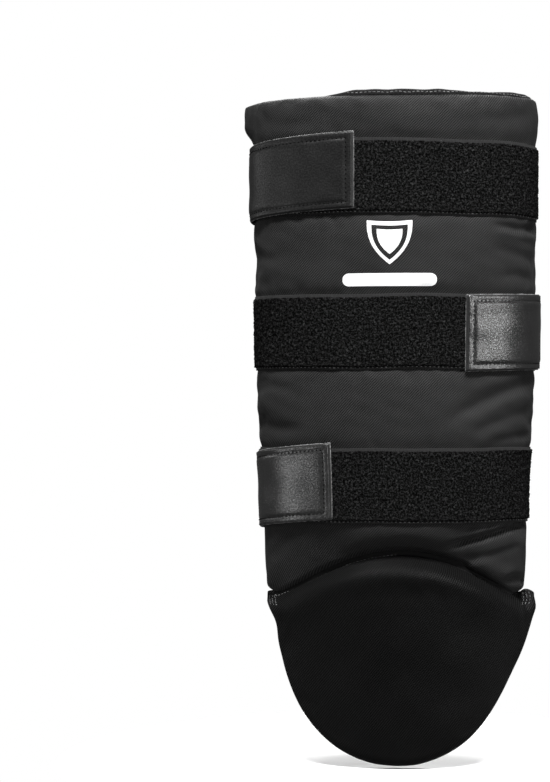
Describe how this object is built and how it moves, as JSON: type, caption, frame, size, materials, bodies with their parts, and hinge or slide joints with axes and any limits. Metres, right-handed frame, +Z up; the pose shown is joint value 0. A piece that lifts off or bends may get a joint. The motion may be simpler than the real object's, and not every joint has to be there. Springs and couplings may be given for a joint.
{
  "type": "shin and instep guard",
  "caption": "Padded shell for the front of the shin with an arched seam and a rounded instep flap, closed behind the calf by elastic straps with hook-and-loop tabs.",
  "frame": {"origin": "on the axis of the leg, level with the lower side corners of the shin pad, at the ankle", "axes": "+Z up the leg towards the knee, -Y forward through the padded front, +X towards the viewer's right when facing the front"},
  "size_m": [0.1983, 0.1088, 0.4493],
  "materials": {
    "twill": "black fine twill with a soft sheen",
    "instep_twill": "deep black fine twill, matt",
    "lining": "black brushed knit",
    "foam": "dark grey closed-cell foam",
    "tape": "black woven tape",
    "loop_pile": "black loop pile, matt",
    "hook": "black moulded hooks",
    "coated_tab": "dark grey grained coated leather with raw edges",
    "elastic": "black ribbed woven elastic"
  },
  "bodies": {
    "root": {"shin_cover": "twill", "shin_foam": "foam", "shin_lining": "lining", "top_facing": "tape", "edge_binding_left": "tape", "edge_binding_right": "tape", "top_loop_band": "loop_pile", "middle_loop_band": "loop_pile", "bottom_loop_band": "loop_pile"},
    "instep": {"instep_cover": "instep_twill", "instep_foam": "foam", "instep_lining": "lining", "seam_web": "tape"},
    "foot_loop": {"foot_strap": "elastic"},
    "top_strap": {"top_elastic": "elastic"},
    "top_tab": {"top_tab_face": "coated_tab", "top_tab_backing": "coated_tab", "top_hook_patch": "hook"},
    "middle_strap": {"middle_elastic": "elastic"},
    "middle_tab": {"middle_tab_face": "coated_tab", "middle_tab_backing": "coated_tab", "middle_hook_patch": "hook"},
    "bottom_strap": {"bottom_elastic": "elastic"},
    "bottom_tab": {"bottom_tab_face": "coated_tab", "bottom_tab_backing": "coated_tab", "bottom_hook_patch": "hook"}
  },
  "joints": [
    {"name": "top_tab_peel", "type": "hinge", "parent": "top_strap", "child": "top_tab", "pos_m": [-0.08476, 0.02805, 0.2755], "axis": [0.0052, -0.0087, -0.9999], "range_deg": [0, 110]},
    {"name": "top_strap_swing", "type": "hinge", "parent": "root", "child": "top_strap", "pos_m": [0.0777, 0.02163, 0.2755], "axis": [-0.0042, -0.0098, -0.9999], "range_deg": [0, 44]},
    {"name": "middle_tab_peel", "type": "hinge", "parent": "middle_strap", "child": "middle_tab", "pos_m": [0.08391, 0.0272, 0.178], "axis": [0.0132, 0.0088, 0.9999], "range_deg": [0, 110]},
    {"name": "middle_strap_swing", "type": "hinge", "parent": "root", "child": "middle_strap", "pos_m": [-0.07694, 0.02068, 0.178], "axis": [-0.0123, 0.0096, 0.9999], "range_deg": [0, 44]},
    {"name": "bottom_tab_peel", "type": "hinge", "parent": "bottom_strap", "child": "bottom_tab", "pos_m": [-0.08123, 0.02621, 0.067], "axis": [0.039, -0.0091, -0.9992], "range_deg": [0, 110]},
    {"name": "bottom_strap_swing", "type": "hinge", "parent": "root", "child": "bottom_strap", "pos_m": [0.07431, 0.01964, 0.067], "axis": [-0.0391, -0.009, -0.9992], "range_deg": [0, 44]},
    {"name": "instep_fold", "type": "hinge", "parent": "root", "child": "instep", "pos_m": [0, -0.047, 0.0304], "axis": [-1, 0, 0], "range_deg": [0, 50]},
    {"name": "foot_strap_swing", "type": "hinge", "parent": "instep", "child": "foot_loop", "pos_m": [0, -0.002, -0.044], "axis": [1, 0, 0], "range_deg": [-35, 10]}
  ],
  "couplings": [
    {"joint": "top_strap_swing", "follows": "top_tab_peel", "ratio": 0.4},
    {"joint": "middle_strap_swing", "follows": "middle_tab_peel", "ratio": 0.4},
    {"joint": "bottom_strap_swing", "follows": "bottom_tab_peel", "ratio": 0.4}
  ]
}
